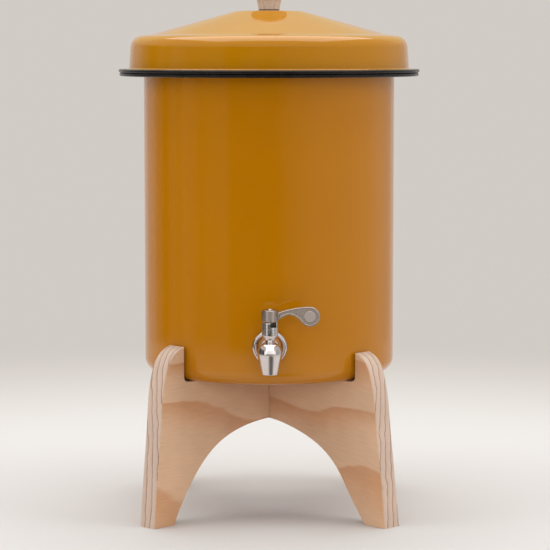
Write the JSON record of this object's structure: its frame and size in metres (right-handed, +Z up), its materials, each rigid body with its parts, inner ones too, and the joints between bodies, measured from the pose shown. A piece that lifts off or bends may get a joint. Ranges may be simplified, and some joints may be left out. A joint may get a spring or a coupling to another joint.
{
  "type": "water filter dispenser",
  "caption": "Enamelled steel water filter crock with a hanging clay filter pot, conical lid with wooden knob, quarter-turn lever tap and a crossed board stand.",
  "frame": {"origin": "on the floor, straight under the vessel's axis, at the middle of the stand's cross", "axes": "+Z up, the tap faces -Y, its closed lever points to +X"},
  "size_m": [0.36, 0.374, 0.6302],
  "materials": {
    "enamel": "glossy fired enamel over steel, black on the rolled rims",
    "pine": "sanded pine with a clear matt finish",
    "knob_wood": "turned pale wood, sanded",
    "clay": "unglazed fired clay",
    "tap_steel": "polished cast stainless steel",
    "plain_steel": "machined stainless steel",
    "silicone": "translucent white silicone",
    "black_rubber": "black rubber",
    "valve_plastic": "white low-friction plastic"
  },
  "bodies": {
    "stand": {"stand_board_left": "pine", "stand_board_right": "pine"},
    "vessel": {"water_vessel": "enamel", "tap_body": "tap_steel", "tap_escutcheon": "tap_steel", "outer_gasket": "silicone", "inner_gasket": "silicone", "tap_washer": "plain_steel", "tap_nut": "plain_steel", "plug_retainer": "plain_steel", "valve_seat": "valve_plastic", "gland_ring": "plain_steel"},
    "tap_lever": {"tap_lever": "tap_steel", "lever_screw": "tap_steel", "stop_pin": "plain_steel", "valve_stem": "plain_steel", "stem_o_rings": "black_rubber", "valve_plug": "plain_steel"},
    "filter": {"filter_pot": "clay"},
    "lid": {"lid_shell": "enamel", "lid_knob": "knob_wood", "knob_gasket": "black_rubber", "knob_washer": "plain_steel", "knob_screw": "plain_steel"}
  },
  "joints": [
    {"name": "vessel_lift", "type": "slide", "parent": "stand", "child": "vessel", "axis": [0, 0, 1], "range_m": [0, 0.06]},
    {"name": "lever_turn", "type": "hinge", "parent": "vessel", "child": "tap_lever", "pos_m": [0, -0.18, 0.25], "axis": [0, 0, 1], "range_deg": [-90, 0]},
    {"name": "filter_lift", "type": "slide", "parent": "vessel", "child": "filter", "axis": [0, 0, 1], "range_m": [0, 0.26]},
    {"name": "lid_lift", "type": "slide", "parent": "filter", "child": "lid", "axis": [0, 0, 1], "range_m": [0, 0.06]}
  ]
}
